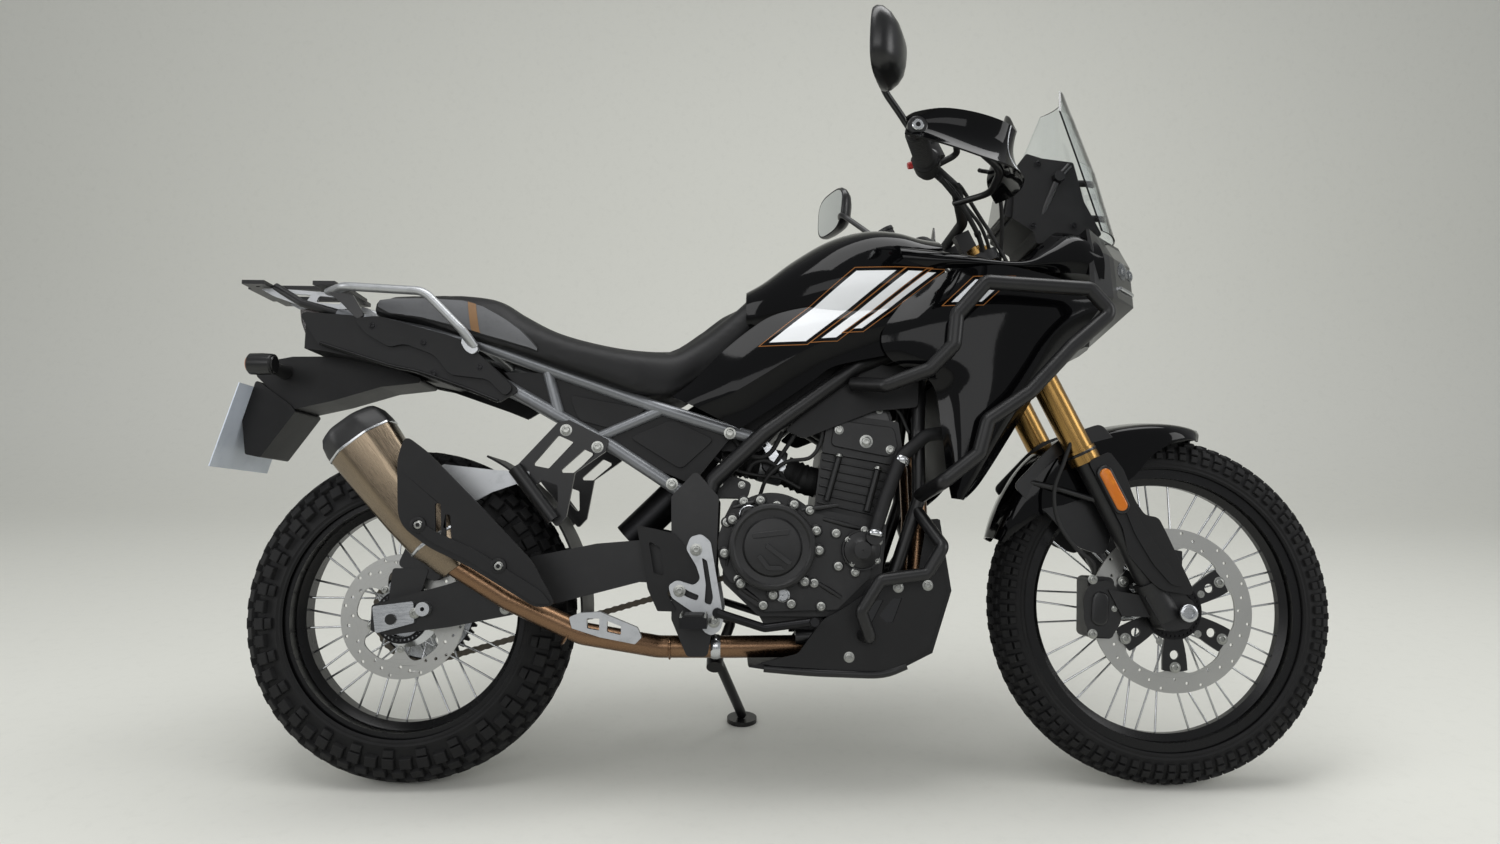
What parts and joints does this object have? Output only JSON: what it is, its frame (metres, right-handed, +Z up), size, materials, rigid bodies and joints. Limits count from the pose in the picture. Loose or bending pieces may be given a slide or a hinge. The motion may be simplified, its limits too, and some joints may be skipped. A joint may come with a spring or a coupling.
{
  "type": "adventure motorcycle",
  "caption": "Adventure motorcycle on its side stand, with spoked wheels, block-tread tyres, crash bars, screen and rack. Wheels turn, bars steer, stand folds, fuel lid opens.",
  "frame": {"origin": "on the ground under the middle of the bounding box of the leaning machine", "axes": "+X forward, +Y to the rider left (the side it leans to), +Z up"},
  "size_m": [2.222, 0.962, 1.4236],
  "materials": {
    "frame_paint": "satin black powder coat",
    "silver_paint": "satin silver-grey paint",
    "black_casting": "black painted casting",
    "cast_silver": "bead-blasted casting",
    "gold_anodised": "gold-bronze anodised tube",
    "bronze_steel": "heat-tinted stainless steel",
    "disc_steel": "ground steel",
    "chain_steel": "oiled steel",
    "spoke_steel": "polished steel",
    "radiator_core": "black core",
    "gloss_black": "gloss black with white slashes",
    "matt_plastic": "grained black moulding",
    "seat_cover": "grained vinyl with a textured side panel",
    "grip_rubber": "moulded rubber",
    "tyre_rubber": "block tread rubber",
    "rim_paint": "black anodised rim",
    "clear_screen": "clear moulded screen",
    "lamp_lens": "clear lens over a dark housing",
    "tail_lens": "smoked red lens",
    "plate_sheet": "blank pale plate"
  },
  "bodies": {
    "chassis": {"main_frame": "frame_paint", "subframe": "silver_paint", "engine_cases": "black_casting", "cylinder_head": "black_casting", "engine_covers": "black_casting", "airbox": "matt_plastic", "radiator": "radiator_core", "exhaust_pipe": "bronze_steel", "silencer": "bronze_steel", "silencer_shield": "matt_plastic", "exhaust_brackets": "cast_silver", "fuel_tank": "gloss_black", "seat": "seat_cover", "side_panels": "matt_plastic", "side_fairings": "gloss_black", "upper_trims": "matt_plastic", "nose_cowl": "gloss_black", "headlamp": "lamp_lens", "windscreen": "clear_screen", "dash_tower": "matt_plastic", "tail_cowl": "matt_plastic", "tail_lamp": "tail_lens", "rack": "frame_paint", "rack_lugs": "frame_paint", "rack_legs": "frame_paint", "grab_rails": "silver_paint", "plate_holder": "matt_plastic", "number_plate": "plate_sheet", "inner_panels": "matt_plastic", "swingarm": "frame_paint", "paddock_spools": "cast_silver", "chain_adjusters": "cast_silver", "chain": "chain_steel", "shock": "chain_steel", "rear_brake": "black_casting", "peg_brackets": "cast_silver", "heel_guards": "matt_plastic", "footpegs": "chain_steel", "pillion_hangers": "frame_paint", "skid_plate": "matt_plastic", "crash_bars": "frame_paint"},
    "steering": {"triple_clamps": "black_casting", "fork_tubes": "gold_anodised", "fork_lowers": "cast_silver", "fork_guards": "matt_plastic", "front_brake": "black_casting", "front_fender": "gloss_black", "handlebar": "grip_rubber", "handguards": "gloss_black", "mirrors": "matt_plastic"},
    "front_wheel": {"front_tyre": "tyre_rubber", "front_rim": "rim_paint", "front_hub": "spoke_steel", "front_disc": "disc_steel"},
    "rear_wheel": {"rear_tyre": "tyre_rubber", "rear_rim": "rim_paint", "rear_hub": "spoke_steel", "rear_disc": "disc_steel"},
    "side_stand": {"side_stand": "frame_paint"},
    "filler_lid": {"filler_lid": "cast_silver"}
  },
  "joints": [
    {"name": "steering_turn", "type": "hinge", "parent": "chassis", "child": "steering", "pos_m": [0.40795, -0.08038, 0.91155], "axis": [-0.4381, 0.1869, 0.8793], "range_deg": [-38, 38]},
    {"name": "front_wheel_spin", "type": "hinge", "parent": "steering", "child": "front_wheel", "pos_m": [0.76426, -0.20153, 0.34147], "axis": [-0.0001, 0.9781, -0.2079], "continuous": true},
    {"name": "rear_wheel_spin", "type": "hinge", "parent": "chassis", "child": "rear_wheel", "pos_m": [-0.74075, -0.20589, 0.32148], "axis": [-0.0001, 0.9781, -0.2079], "continuous": true},
    {"name": "side_stand_fold", "type": "hinge", "parent": "chassis", "child": "side_stand", "pos_m": [-0.13679, -0.08881, 0.19874], "axis": [0.014, 0.8342, 0.5513], "range_deg": [0, 102]},
    {"name": "filler_lid_open", "type": "hinge", "parent": "chassis", "child": "filler_lid", "pos_m": [0.26553, -0.04341, 1.08553], "axis": [-0.0001, 0.9781, -0.2079], "range_deg": [0, 100]}
  ]
}
